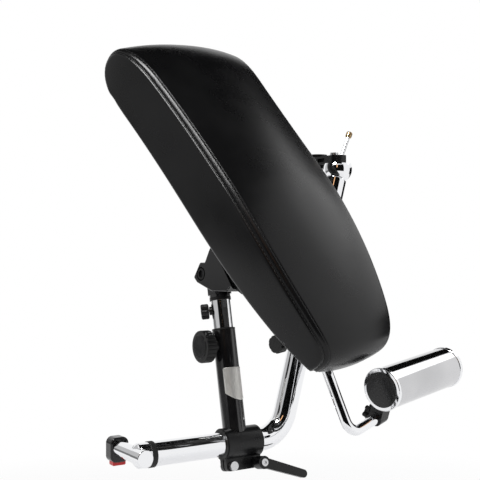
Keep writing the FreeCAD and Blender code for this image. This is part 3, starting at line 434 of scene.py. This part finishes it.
def end_round(half, reach, side, power, end_height, tuck, steps):
    # points round one end, from the level part to the end's foot
    points = []
    for k in range(steps + 1):
        angle = math.pi / 2 * k / steps
        inner = math.sin(angle) ** (2 / power)
        rise = math.cos(angle) ** (2 / power)
        l = side * (half - reach + reach * inner)
        points.append((l, end_height + (seam_top(l) - end_height) * rise))
    for k in range(1, steps + 1):
        angle = math.pi / 2 * k / steps
        l = side * (half - tuck * (1 - math.cos(angle)))
        points.append((l, end_height * (1 - math.sin(angle))))
    return points


def seam_line():
    # (l, height) from the lower end's foot, over the top, to the upper end's foot
    steps = seam_line_steps
    low_half, high_half = pad_length / 2 + pad_lower_grow, pad_length / 2 + pad_upper_grow
    lower = end_round(low_half, pad_lower_round, 1, pad_lower_power,
                      pad_lower_end_height, pad_lower_tuck, steps)
    upper = end_round(high_half, pad_upper_round, -1, pad_upper_power,
                      pad_upper_end_height, pad_upper_tuck, steps)
    start, end = low_half - pad_lower_round, pad_upper_round - high_half
    middle = [start + (end - start) * k / steps for k in range(1, steps)]
    return lower[::-1] + [(l, seam_top(l)) for l in middle] + upper


def resample(points, count):
    # the same line with evenly spaced points
    lengths = [0.0]
    for a, b in zip(points, points[1:]):
        lengths.append(lengths[-1] + math.dist(a, b))
    even = []
    k = 0
    for i in range(count + 1):
        target = lengths[-1] * i / count
        while k < len(points) - 2 and lengths[k + 1] < target:
            k += 1
        span = lengths[k + 1] - lengths[k]
        share = (target - lengths[k]) / span if span > 0 else 0.0
        a, b = points[k], points[k + 1]
        even.append((a[0] + (b[0] - a[0]) * share, a[1] + (b[1] - a[1]) * share))
    return even


def softened(points):
    # the same line with the lower end's corner rounded off
    for _ in range(pad_smooth_rounds):
        inner = []
        for a, b, c in zip(points, points[1:], points[2:]):
            eased = (a[0] + 2 * b[0] + c[0]) / 4, (a[1] + 2 * b[1] + c[1]) / 4
            inner.append(b if b[0] < pad_smooth_from else eased)
        points = [points[0]] + inner + [points[-1]]
    return points


seam_points = softened(resample(seam_line(), pad_columns))


def seam_half(i):
    # half the width at a seam point, drawn in where the seam reaches the underside
    l, z = seam_points[i]
    share = max(0.0, 1 - z / pad_foot_height)
    return pad_half_width(l) - pad_foot_round * share * share


def seam_normal(i):
    # the (l, height) direction that points out of the pad at a seam point
    a = seam_points[max(i - 1, 0)]
    b = seam_points[min(i + 1, pad_columns)]
    along = Vector((b[0] - a[0], b[1] - a[1])).normalized()
    return Vector((along.y, -along.x))


def groove(distance, centre, half_width, depth):
    # a smooth valley across the distance from the seam
    share = abs(distance - centre) / half_width
    return -depth * (1 - share * share) ** 2 if share < 1 else 0.0


def edge_drop(distance, edge):
    # how far the cover's rounded edge lies inside the sharp one, both across and down
    slope, flat, reach = edge
    share = min(1.0, max(0.0, (distance - flat) / (reach - flat)))
    left = 0.5 - share + share ** 3 - share ** 4 / 2
    return slope * (max(0.0, flat - distance) + (reach - flat) * left)


def relief(distance, row_from_seam):
    # the seam's valley and the dent that a row of stitches makes
    seam = groove(distance, 0.0, seam_half_width, seam_depth)
    row = groove(distance, row_from_seam, stitch_groove_half_width, stitch_groove_depth)
    return seam + row


def rim_depth(l):
    # how far the cover's lower edge hangs below the board's level
    share = min(1.0, max(0.0, (pad_length / 2 - abs(l)) / pad_rim_reach))
    return pad_rim * share * share * (3 - 2 * share)


def foot_inset(distance):
    # how far the side panel turns in near its lower edge
    share = 1 - distance / pad_foot_round
    return pad_foot_round * (1 - math.sqrt(max(0.0, 1 - share * share))) if share > 0 else 0.0


def top_point(i, w_share, distance, side, pressed):
    # a point of the top panel, at a share of its half width and a distance from the seam
    l, z = seam_points[i]
    normal = seam_normal(i)
    half = seam_half(i)
    height = min(1.0, z / pad_side_height)
    crown = pad_end_crown + (pad_crown - pad_end_crown) * height ** crown_fade_power
    drop = edge_drop(distance, top_edge)
    out = crown * (1 - abs(w_share) ** crown_power) - drop
    out += relief(distance, top_row_from_seam) if pressed else 0.0
    w = side * (half * abs(w_share) - drop)
    return Vector((l + normal.x * out, w, z + normal.y * out))


def top_shares(half):
    # shares of the half width from one seam to the other, dense beside the seams
    inner = [1 - d / half for d in near_seam]
    last = inner[-1]
    middle = [last * (1 - 2 * k / top_rows) for k in range(1, top_rows)]
    return inner + middle + [-share for share in reversed(inner)]


def side_point(i, v, distance, side, pressed):
    # a point of a side panel: v is 0 at the seam and 1 at the underside
    l, z = seam_points[i]
    foot = seam_points[0][0] + (seam_points[pad_columns][0] - seam_points[0][0]) * foot_shares[i]
    normal = seam_normal(i)
    here = Vector((l + (foot - l) * v, z * (1 - v) - rim_depth(l) * v))
    fall = min(1.0, z / pad_side_height)
    bulge = pad_side_bulge * fall * 4 * v * (1 - v)
    bulge -= min(1.0, z / pad_foot_height) * foot_inset((1 - v) * z)
    drop = edge_drop(distance, side_edge)
    out = bulge - drop + (relief(distance, side_row_from_seam) if pressed else 0.0)
    w = pad_half_width(here.x) - pad_half_width(l) + seam_half(i) + out
    return Vector((here.x - normal.x * drop, side * w, here.y - normal.y * drop))


def foot_share_list():
    # where each seam point's partner lies along the underside's edge
    start, end = seam_points[0][0], seam_points[pad_columns][0]
    shares = []
    for i, (l, _) in enumerate(seam_points):
        even = i / pad_columns
        straight = min(1.0, max(0.0, (start - l) / (start - end)))
        shares.append(even_part * even + straight_part * straight)
    return shares


foot_shares = foot_share_list()


def side_shares(i):
    # shares of a side panel's depth, dense beside the seam and the foot
    depth = max(seam_points[i][1], least_depth)
    inner = [min(d / depth, seam_share_limit + seam_share_step * k) for k, d in enumerate(near_seam)]
    outer = [max(1 - d / depth, foot_share_limit + foot_share_step * k) for k, d in enumerate(near_foot[:-1])]
    outer.append(1.0)
    first, last = inner[-1], outer[0]
    return inner + [first + (last - first) * k / side_rows for k in range(1, side_rows)] + outer


def finished_mesh(mesh, name):
    # the smooth-shaded mesh that a bmesh gives
    made = bpy.data.meshes.new(name)
    mesh.to_mesh(made)
    mesh.free()
    for polygon in made.polygons:
        polygon.use_smooth = True
    return made


def pad_cover_mesh(pressed):
    # the closed cover (top panel, two side panels and the underside), and each point's way to what holds it
    mesh = bmesh.new()
    pins = []

    def add(point, distance):
        pins.append(distance)
        return mesh.verts.new(PAD @ point)

    def skin(grid):
        for row_a, row_b in zip(grid, grid[1:]):
            for a, b, c, d in zip(row_a, row_a[1:], row_b[1:], row_b):
                corners = []
                for corner in (a, b, c, d):
                    if corner not in corners:
                        corners.append(corner)
                if len(corners) > 2:
                    mesh.faces.new(corners)

    top, left, right = [], [], []
    for i in range(pad_columns + 1):
        half = seam_half(i)
        row = []
        for share in top_shares(half):
            distance = half * (1 - abs(share))
            side = 1 if share >= 0 else -1
            row.append(add(top_point(i, share, distance, side, pressed), distance))
        top.append(row)
    for side, panel in ((1, right), (-1, left)):
        for i in range(pad_columns + 1):
            seam_vert = top[i][0] if side > 0 else top[i][-1]
            if i in (0, pad_columns):
                panel.append([seam_vert] * len(side_shares(i)))
                continue
            row = [seam_vert]
            depth = seam_points[i][1]
            for v in side_shares(i)[1:]:
                distance = v * depth
                point = side_point(i, v, distance, side, pressed)
                row.append(add(point, min(distance, (1 - v) * depth)))
            panel.append(row)
    skin(top)
    skin([row[::-1] for row in right])
    skin(left)
    under = []
    for i in range(1, pad_columns):
        a, b = right[i][-1], left[i][-1]
        row = [a]
        rim_share = pad_rim_width / (a.co - b.co).length
        lift = rim_depth(seam_points[i][0]) * PAD_N
        for k in range(under_rows + 1):
            share = rim_share + (1 - 2 * rim_share) * k / under_rows
            row.append(mesh.verts.new(a.co.lerp(b.co, share) + lift))
            pins.append(0.0)
        row.append(b)
        under.append(row)
    skin(under)
    mesh.faces.new(top[0] + under[0][::-1])
    mesh.faces.new(top[pad_columns] + under[-1][::-1])
    bmesh.ops.recalc_face_normals(mesh, faces=mesh.faces)
    bmesh.ops.triangulate(mesh, faces=[f for f in mesh.faces if len(f.verts) > 4])
    mesh.verts.index_update()
    return finished_mesh(mesh, "pad_cover"), pins


def settle_cloth(mesh, pins):
    # lets the cover swell a little between its seams, and gives each point's move
    body = bpy.data.objects.new("cover_settling", mesh.copy())
    scene.collection.objects.link(body)
    group = body.vertex_groups.new(name="held")
    for index, distance in enumerate(pins):
        held = 1.0 - (distance - pinned_reach) / (free_reach - pinned_reach)
        group.add([index], min(1.0, max(0.0, held)), "REPLACE")
    cloth = body.modifiers.new("cloth", "CLOTH")
    settings = cloth.settings
    settings.vertex_group_mass = "held"
    settings.use_pressure = True
    settings.uniform_pressure_force = cloth_pressure
    settings.effector_weights.gravity = 0.0
    settings.tension_stiffness = cloth_stiffness
    settings.compression_stiffness = cloth_stiffness
    settings.bending_stiffness = cloth_bending
    settings.quality = cloth_quality
    cloth.point_cache.frame_start = 1
    cloth.point_cache.frame_end = cloth_frames
    for step in range(1, cloth_frames + 1):
        scene.frame_set(step)
    seen = body.evaluated_get(bpy.context.evaluated_depsgraph_get()).to_mesh()
    moves = []
    for before, after in zip(mesh.vertices, seen.vertices):
        move = after.co - before.co
        if move.length > cloth_cap:
            move = move.normalized() * cloth_cap
        moves.append(move)
    scene.frame_set(1)
    bpy.data.objects.remove(body)
    return moves


def make_pad_cover():
    smooth, pins = pad_cover_mesh(False)
    pressed, _ = pad_cover_mesh(True)
    for vertex, move in zip(pressed.vertices, settle_cloth(smooth, pins)):
        vertex.co += move
    cover = add_piece("pad_cover", pressed, "pad", materials["leather"])
    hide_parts("pad_cushion")
    finer = cover.modifiers.new("finer", "SUBSURF")
    finer.levels = 1
    finer.render_levels = 1
    return cover


def add_stitch(mesh, start, end, out):
    # a short rounded thread that dips into the cover at both ends
    along = (end - start).normalized()
    across = along.cross(out).normalized()
    up = across.cross(along)
    rings = []
    for share, size, lift in stitch_profile:
        centre = start.lerp(end, share) + up * stitch_r * lift
        ring = []
        for k in range(stitch_sides):
            angle = 2 * math.pi * k / stitch_sides
            spoke = across * math.cos(angle) + up * math.sin(angle)
            ring.append(mesh.verts.new(centre + spoke * stitch_r * size))
        rings.append(ring)
    for a, b in zip(rings, rings[1:]):
        for k in range(stitch_sides):
            n = (k + 1) % stitch_sides
            mesh.faces.new((a[k], a[n], b[n], b[k]))
    mesh.faces.new(rings[0][::-1])
    mesh.faces.new(rings[-1])


def stitch_path(side, on_top):
    # the line of a row of stitches, left out where the pad's ends get shallow
    path = []
    for i in range(pad_columns + 1):
        l, z = seam_points[i]
        if z < 2 * top_row_from_seam:
            continue
        if on_top:
            share = 1 - top_row_from_seam / seam_half(i)
            path.append(PAD @ top_point(i, share, top_row_from_seam, side, True))
        else:
            path.append(PAD @ side_point(i, side_row_from_seam / z, side_row_from_seam, side, True))
    return path


def stitch_row_mesh(skin, path):
    # a row of stitches on the cover, along a line
    mesh = bmesh.new()
    lengths = [0.0]
    for a, b in zip(path, path[1:]):
        lengths.append(lengths[-1] + (b - a).length)

    def at(distance):
        k = 0
        while k < len(path) - 2 and lengths[k + 1] < distance:
            k += 1
        share = (distance - lengths[k]) / (lengths[k + 1] - lengths[k])
        spot, normal, _, _ = skin.find_nearest(path[k].lerp(path[k + 1], share))
        return spot, normal

    for k in range(int(lengths[-1] / stitch_pitch)):
        begin = k * stitch_pitch
        start, out = at(begin)
        end, _ = at(begin + stitch_length)
        add_stitch(mesh, start, end, out)
    return finished_mesh(mesh, "stitches")


def make_stitches(cover):
    depsgraph = bpy.context.evaluated_depsgraph_get()
    skin = BVHTree.FromObject(cover.evaluated_get(depsgraph), depsgraph)
    for side, hand in ((1, "far"), (-1, "near")):
        for on_top, panel in ((True, "top"), (False, "side")):
            made = stitch_row_mesh(skin, stitch_path(side, on_top))
            add_piece("stitches_" + hand + "_" + panel, made, "pad", materials["thread"])


# Blank shield-shaped plate on the outer post tube, in metres and degrees
plate_azimuth_deg = -67.0
plate_half_deg = 80.0
plate_top = 0.110
plate_shoulder = 0.073
plate_tip = 0.061
plate_tip_power = 1.7
plate_corner = 0.0025
plate_corner_share = 0.12
plate_thickness = 0.0006
plate_sunk = 0.0001
plate_rim = 0.0003
plate_rim_share = 0.07
plate_across = 40
plate_rows = 24
tube_r = 0.0175


def make_label_plate():
    # a closed thin sheet round the tube, with a raised rim
    axis = unit(joints["height_slide"]["axis"])
    spot = Vector(joints["post_swivel"]["pos_m"])
    foot = spot - axis * (spot.z / axis.z)
    across = Vector((1.0, 0.0, 0.0))
    post = frame_matrix(foot, across, axis.cross(across), axis)
    mesh = bmesh.new()

    def point(u, v, r):
        angle = math.radians(plate_azimuth_deg + plate_half_deg * u)
        edge = max(0.0, (abs(u) - 1 + plate_corner_share) / plate_corner_share)
        top = plate_top - plate_corner * edge ** 3
        bottom = plate_tip + (plate_shoulder - plate_tip) * abs(u) ** plate_tip_power
        place = Vector((r * math.cos(angle), r * math.sin(angle), bottom + (top - bottom) * v))
        return mesh.verts.new(post @ place)

    def sheet(inner):
        rows = []
        for j in range(plate_rows + 1):
            v = 0.5 - 0.5 * math.cos(math.pi * j / plate_rows)
            row = []
            for i in range(plate_across + 1):
                u = -math.cos(math.pi * i / plate_across)
                border = min(1 - abs(u), 2 * v, 2 - 2 * v) / plate_rim_share
                rise = plate_thickness + plate_rim * max(0.0, 1 - abs(border - 1)) * (0 < border < 2)
                row.append(point(u, v, tube_r - plate_sunk if inner else tube_r + rise))
            rows.append(row)
        return rows

    outer, inner = sheet(False), sheet(True)
    for grid, flip in ((outer, False), (inner, True)):
        for a, b in zip(grid, grid[1:]):
            for k in range(plate_across):
                corners = (a[k], a[k + 1], b[k + 1], b[k])
                mesh.faces.new(corners[::-1] if flip else corners)

    def border_of(grid):
        return grid[0] + [row[-1] for row in grid[1:]] + grid[-1][-2::-1] + [row[0] for row in grid[-2:0:-1]]

    rim_out, rim_in = border_of(outer), border_of(inner)
    for k in range(len(rim_out)):
        n = (k + 1) % len(rim_out)
        mesh.faces.new((rim_out[k], rim_in[k], rim_in[n], rim_out[n]))
    bmesh.ops.recalc_face_normals(mesh, faces=mesh.faces)
    made = finished_mesh(mesh, "label_plate")
    add_piece("label_plate", made, "clamp", materials["plate"])


# Studio: a pale floor, a white surround, soft lamps, and black flags, dim screens and cards that only
# reflections see. Places are in metres, and heights are from the part's middle
floor_below = 0.30
floor_size = 12.0
floor_clear_from = 0.5
floor_clear_to = 1.6
flag_far = 2.6
flag_low = -1.2
flag_high = 1.9
flag_step_deg = 4.0
flag_black = (0.004, 0.004, 0.004)
# edges of the black flags, the grey and dim screens and the warm strip, in degrees to the right of the camera
flag_edges_deg = [(-41.0, -13.0), (-5.0, 47.0)]
low_edges_deg = (106.0, 150.0)
low_top = 0.5
high_edges_deg = (137.0, 169.0)
high_low = 1.05
high_top = 2.9
grey_edges_deg = (-128.0, -41.0)
grey_strength = 0.55
dim_strength = 0.2
dim_top = -0.1
strip_edges_deg = (-13.0, -5.0)
strip_strength = 1.2
strip_low = 0.72
# the black flag above the part: its height, its reach to the front, back and left, and its reach to the right
ceiling_height = 1.9
ceiling_half = 1.95
ceiling_right = 1.25
# bright cards that edges and creases reflect: degrees right of the camera and above the level,
# distance, width, height and strength
cards = [
    (-36.0, 52.0, 1.8, 0.60, 0.40, 40.0),
    (114.0, 38.0, 2.1, 1.1, 0.8, 2.0),
]
# soft lamps: name, degrees right of the camera and above the level, distance, width and height, power
lamps = [
    ("right_box", 82.0, 20.0, 2.0, (1.2, 1.2), 9.0),
    ("left_box", -80.0, 20.0, 2.0, (1.0, 1.4), 5.0),
    ("back_box", 160.0, 40.0, 2.0, (1.0, 1.0), 6.0),
]
# the diffuse light from below and from above
diffuse_low = (0.5, 0.5, 0.5, 1.0)
diffuse_high = (0.85, 0.85, 0.86, 1.0)
white = (1.0, 1.0, 1.0, 1.0)
warm_white = (1.0, 0.55, 0.28, 1.0)


def stage_mesh(name, points, faces, material):
    mesh = bpy.data.meshes.new(name)
    mesh.from_pydata(points, [], faces)
    mesh.materials.append(material)
    thing = bpy.data.objects.new(name, mesh)
    scene.collection.objects.link(thing)
    return thing


def only_reflected(thing):
    thing.visible_camera = False
    thing.visible_diffuse = False
    thing.visible_transmission = False
    thing.visible_volume_scatter = False
    thing.visible_shadow = False


def shown_rays(tree):
    # 1 for what the camera, a reflection or a refraction sees, and 0 for diffuse light
    path = tree.nodes.new("ShaderNodeLightPath")
    either = tree.nodes.new("ShaderNodeMath")
    either.operation = "MAXIMUM"
    tree.links.new(path.outputs["Is Camera Ray"], either.inputs[0])
    tree.links.new(path.outputs["Is Glossy Ray"], either.inputs[1])
    any_of = tree.nodes.new("ShaderNodeMath")
    any_of.operation = "MAXIMUM"
    tree.links.new(either.outputs["Value"], any_of.inputs[0])
    tree.links.new(path.outputs["Is Transmission Ray"], any_of.inputs[1])
    return any_of.outputs["Value"]


def make_floor():
    # shaded close to the part, and as white as the surround further away
    material, shader = new_material("pale_floor", (0.93, 0.93, 0.93), 0.0, 0.9)
    tree = material.node_tree
    glow = add_node(material, "ShaderNodeEmission", Strength=1.0)
    mixed = add_node(material, "ShaderNodeMixShader")
    place = add_node(material, "ShaderNodeTexCoord")
    away = add_node(material, "ShaderNodeVectorMath", operation="LENGTH")
    fade = add_node(material, "ShaderNodeMapRange")
    fade.inputs["From Min"].default_value = floor_clear_from
    fade.inputs["From Max"].default_value = floor_clear_to
    seen = add_node(material, "ShaderNodeMath", operation="MULTIPLY")
    link(material, place, "Object", away, 0)
    link(material, away, "Value", fade, "Value")
    tree.links.new(shown_rays(tree), seen.inputs[0])
    link(material, fade, "Result", seen, 1)
    link(material, seen, "Value", mixed, "Fac")
    tree.links.new(shader.outputs["BSDF"], mixed.inputs[1])
    tree.links.new(glow.outputs["Emission"], mixed.inputs[2])
    tree.links.new(mixed.outputs["Shader"], tree.nodes["Material Output"].inputs["Surface"])
    half = floor_size / 2
    corners = [(-half, -half, 0), (half, -half, 0), (half, half, 0), (-half, half, 0)]
    floor = stage_mesh("floor", corners, [(0, 1, 2, 3)], material)
    floor.location = (cad_middle.x, cad_middle.y, cad_box[0].z - floor_below)


def camera_side(right_deg):
    # the level direction at an angle to the right of the camera, seen from the part
    turn = math.radians(camera_azimuth_deg + right_deg)
    return Vector((math.sin(turn), -math.cos(turn), 0.0))


def studio_side(right_deg, rise_deg):
    # the same, raised above the level
    rise = math.radians(rise_deg)
    return camera_side(right_deg) * math.cos(rise) + Vector((0, 0, math.sin(rise)))


def flag_wall(name, start_deg, end_deg, material, low=flag_low, high=flag_high):
    # a curved screen round the part
    steps = max(1, round((end_deg - start_deg) / flag_step_deg))
    points, faces = [], []
    for k in range(steps + 1):
        foot = cad_middle + flag_far * camera_side(start_deg + (end_deg - start_deg) * k / steps)
        points.append((foot.x, foot.y, cad_middle.z + low))
        points.append((foot.x, foot.y, cad_middle.z + high))
        if k < steps:
            faces.append((2 * k, 2 * k + 2, 2 * k + 3, 2 * k + 1))
    only_reflected(stage_mesh(name, points, faces, material))


def glowing(name, color, strength):
    material = bpy.data.materials.new(name)
    material.use_nodes = True
    glow = add_node(material, "ShaderNodeEmission", Color=color, Strength=strength)
    tree = material.node_tree
    tree.links.new(glow.outputs["Emission"], tree.nodes["Material Output"].inputs["Surface"])
    return material


def make_ceiling(material):
    half, right = ceiling_half, ceiling_right
    corners = [(-half, -half, 0), (right, -half, 0), (right, half, 0), (-half, half, 0)]
    ceiling = stage_mesh("flag_above", corners, [(3, 2, 1, 0)], material)
    ceiling.location = (cad_middle.x, cad_middle.y, cad_middle.z + ceiling_height)
    ceiling.rotation_euler = (0.0, 0.0, math.radians(camera_azimuth_deg))
    only_reflected(ceiling)


def make_card(name, right_deg, rise_deg, far, width, height, material):
    half_w, half_h = width / 2, height / 2
    corners = [(-half_w, -half_h, 0), (half_w, -half_h, 0), (half_w, half_h, 0), (-half_w, half_h, 0)]
    card = stage_mesh(name, corners, [(0, 1, 2, 3)], material)
    toward = studio_side(right_deg, rise_deg)
    card.location = cad_middle + toward * far
    card.rotation_mode = "QUATERNION"
    card.rotation_quaternion = toward.to_track_quat("Z", "Y")
    only_reflected(card)


def make_flags():
    black, _ = new_material("flag_black", flag_black, 0.0, 1.0, 0.0)
    for k, (start_deg, end_deg) in enumerate(flag_edges_deg):
        flag_wall("flag_%d" % (k + 1), start_deg, end_deg, black)
    flag_wall("flag_low", *low_edges_deg, black, flag_low, low_top)
    flag_wall("flag_high", *high_edges_deg, black, high_low, high_top)
    grey = glowing("screen_grey", white, grey_strength)
    dim = glowing("screen_dim", white, dim_strength)
    flag_wall("grey_screen", *grey_edges_deg, grey, dim_top)
    flag_wall("dim_screen", *grey_edges_deg, dim, flag_low, dim_top)
    warm = glowing("warm_light", warm_white, strip_strength)
    flag_wall("warm_strip", *strip_edges_deg, warm, strip_low)
    flag_wall("flag_under_strip", *strip_edges_deg, black, flag_low, strip_low)
    make_ceiling(black)
    for k, (right_deg, rise_deg, far, width, height, strength) in enumerate(cards):
        glow = glowing("card_glow_%d" % (k + 1), white, strength)
        make_card("card_%d" % (k + 1), right_deg, rise_deg, far, width, height, glow)


def make_world():
    # white for what is seen and reflected, and greyer from below for diffuse light
    world = bpy.data.worlds.new("studio")
    scene.world = world
    world.use_nodes = True
    tree = world.node_tree
    background = tree.nodes["Background"]
    place = tree.nodes.new("ShaderNodeTexCoord")
    split = tree.nodes.new("ShaderNodeSeparateXYZ")
    ramp = tree.nodes.new("ShaderNodeValToRGB")
    ramp.color_ramp.elements[0].position = 0.0
    ramp.color_ramp.elements[0].color = diffuse_low
    ramp.color_ramp.elements[1].position = 1.0
    ramp.color_ramp.elements[1].color = diffuse_high
    rise = tree.nodes.new("ShaderNodeMapRange")
    rise.inputs["From Min"].default_value = -1.0
    mix = tree.nodes.new("ShaderNodeMix")
    mix.data_type = "RGBA"
    color_a = [entry for entry in mix.inputs if entry.name == "A" and entry.type == "RGBA"][0]
    color_b = [entry for entry in mix.inputs if entry.name == "B" and entry.type == "RGBA"][0]
    color_out = [out for out in mix.outputs if out.type == "RGBA"][0]
    color_b.default_value = white
    tree.links.new(place.outputs["Generated"], split.inputs[0])
    tree.links.new(split.outputs["Z"], rise.inputs["Value"])
    tree.links.new(rise.outputs["Result"], ramp.inputs["Fac"])
    tree.links.new(shown_rays(tree), mix.inputs[0])
    tree.links.new(ramp.outputs["Color"], color_a)
    tree.links.new(color_out, background.inputs["Color"])
    background.inputs["Strength"].default_value = 1.0


def add_area(name, right_deg, rise_deg, far, size, power):
    # a soft lamp that faces the part, at an angle to the right of the camera and above the level
    toward = studio_side(right_deg, rise_deg)
    light = bpy.data.lights.new(name, "AREA")
    light.shape = "RECTANGLE"
    light.size, light.size_y = size
    light.energy = power
    lamp = bpy.data.objects.new(name, light)
    scene.collection.objects.link(lamp)
    lamp.location = cad_middle + toward * far
    lamp.rotation_mode = "QUATERNION"
    lamp.rotation_quaternion = (-toward).to_track_quat("-Z", "Y")
    lamp.visible_camera = False
    lamp.visible_glossy = False


def make_camera():
    data = bpy.data.cameras.new("camera")
    data.sensor_width = sensor_width
    data.lens = camera_focal_px / photo_px * sensor_width
    data.clip_start, data.clip_end = camera_clip
    camera = bpy.data.objects.new("camera", data)
    scene.collection.objects.link(camera)
    a, e = math.radians(camera_azimuth_deg), math.radians(camera_elevation_deg)
    back = Vector((math.sin(a) * math.cos(e), -math.cos(a) * math.cos(e), math.sin(e)))
    camera.location = camera_place
    camera.rotation_mode = "QUATERNION"
    camera.rotation_quaternion = (-back).to_track_quat("-Z", "Y")
    scene.camera = camera


make_camera()
make_world()
make_floor()
make_flags()
for lamp_values in lamps:
    add_area(*lamp_values)
dress_nodes()
cover = make_pad_cover()
make_stitches(cover)
make_label_plate()
scene.view_settings.view_transform = "Standard"
